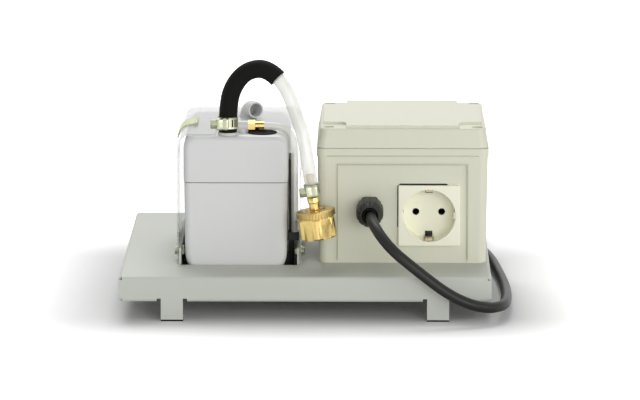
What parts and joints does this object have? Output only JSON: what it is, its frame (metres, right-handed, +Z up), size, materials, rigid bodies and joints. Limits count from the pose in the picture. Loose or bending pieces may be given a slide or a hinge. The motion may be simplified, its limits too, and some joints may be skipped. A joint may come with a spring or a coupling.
{
  "type": "condensate pump",
  "caption": "Condensate pump under a clear plastic hood on a folded base tray, with discharge hose and brass union, junction box with mains socket, cable gland, and a plug on a coiled cable.",
  "frame": {"origin": "middle of the tray's footprint on the floor, under the rubber foot pads", "axes": "+X to the right seen from the front, +Y to the back, +Z up"},
  "size_m": [0.2868, 0.4502, 0.1844],
  "materials": {
    "painted_steel": "satin light grey powder coat",
    "pump_plastic": "satin moulded",
    "inner_plastic": "moulded",
    "white_plastic": "semi-gloss moulded",
    "box_plastic": "fine matt moulded",
    "black_plastic": "matt moulded",
    "black_rubber": "matt",
    "cable_jacket": "satin extruded sheath",
    "clear_plastic": "clear bent sheet",
    "clear_hose": "milky soft vinyl",
    "zinc_steel": "zinc plated",
    "bare_steel": "bright",
    "copper_winding": "lacquered wire",
    "brass_fitting": "machined",
    "plated_contact": "nickel plated",
    "pale_clip": "pale zinc yellow"
  },
  "bodies": {
    "stand": {"base_tray": "painted_steel", "well_lips": "painted_steel", "foot_pads": "black_rubber", "pump_pan": "painted_steel", "rubber_mat": "black_rubber", "retaining_hood": "clear_plastic", "hood_screws": "zinc_steel", "hood_nuts": "zinc_steel", "hood_clip": "pale_clip", "pump_tank": "pump_plastic", "cover_seal": "black_rubber", "pump_cover": "pump_plastic", "motor_plate": "inner_plastic", "motor_stator": "bare_steel", "motor_coil": "copper_winding", "motor_brackets": "zinc_steel", "pump_column": "inner_plastic", "volute_cover": "inner_plastic", "float_stem": "inner_plastic", "float_stop": "inner_plastic", "discharge_riser": "inner_plastic", "outlet_nipple": "inner_plastic", "discharge_hose": "clear_hose", "insulating_sleeve": "black_rubber", "outlet_clamp": "zinc_steel", "tail_clamp": "zinc_steel", "hose_tail": "brass_fitting", "union_washer": "black_rubber", "tube_union": "white_plastic", "brass_elbow": "brass_fitting", "tank_port": "white_plastic", "level_tube": "clear_hose", "inlet_elbow": "white_plastic", "box_body": "box_plastic", "box_screws": "zinc_steel", "terminal_rail": "zinc_steel", "terminal_blocks": "inner_plastic", "socket_insert": "white_plastic", "socket_contacts": "plated_contact", "earth_clips": "plated_contact", "gland_body": "black_plastic", "gland_locknut": "black_plastic", "mains_cable": "cable_jacket", "mains_coil": "cable_jacket", "plug_body": "cable_jacket", "plug_pins": "plated_contact"},
    "rotor": {"motor_shaft": "bare_steel", "motor_rotor": "bare_steel", "cooling_fan": "inner_plastic", "impeller": "inner_plastic"},
    "float": {"float_body": "inner_plastic"},
    "valve": {"valve_ball": "black_rubber"},
    "lid": {"box_lid": "box_plastic", "lid_screws": "zinc_steel", "lid_gasket": "black_rubber"},
    "outlet_screw": {"outlet_clamp_screw": "zinc_steel"},
    "tail_screw": {"tail_clamp_screw": "zinc_steel"},
    "union": {"union_nut": "brass_fitting"},
    "gland_cap": {"gland_nut": "black_plastic"}
  },
  "joints": [
    {"name": "rotor_spin", "type": "hinge", "parent": "stand", "child": "rotor", "pos_m": [-0.051, -0.022, 0.06], "axis": [0, 0, 1], "continuous": true},
    {"name": "float_rise", "type": "slide", "parent": "stand", "child": "float", "axis": [0, 0, 1], "range_m": [0, 0.034]},
    {"name": "valve_lift", "type": "slide", "parent": "stand", "child": "valve", "axis": [0, 0, 1], "range_m": [0, 0.003]},
    {"name": "lid_lift", "type": "slide", "parent": "stand", "child": "lid", "axis": [0, 0, 1], "range_m": [0, 0.08]},
    {"name": "outlet_screw_turn", "type": "hinge", "parent": "stand", "child": "outlet_screw", "pos_m": [-0.057, -0.0831, 0.1373], "axis": [-1, 0, 0], "continuous": true},
    {"name": "tail_screw_turn", "type": "hinge", "parent": "stand", "child": "tail_screw", "pos_m": [0.00472, -0.10275, 0.09113], "axis": [-0.989, 0, -0.1478], "continuous": true},
    {"name": "union_turn", "type": "hinge", "parent": "stand", "child": "union", "pos_m": [0.0084, -0.095, 0.0665], "axis": [-0.1478, 0, 0.989], "continuous": true},
    {"name": "gland_turn", "type": "hinge", "parent": "stand", "child": "gland_cap", "pos_m": [0.0468, -0.09, 0.0732], "axis": [0, -1, 0], "continuous": true}
  ]
}
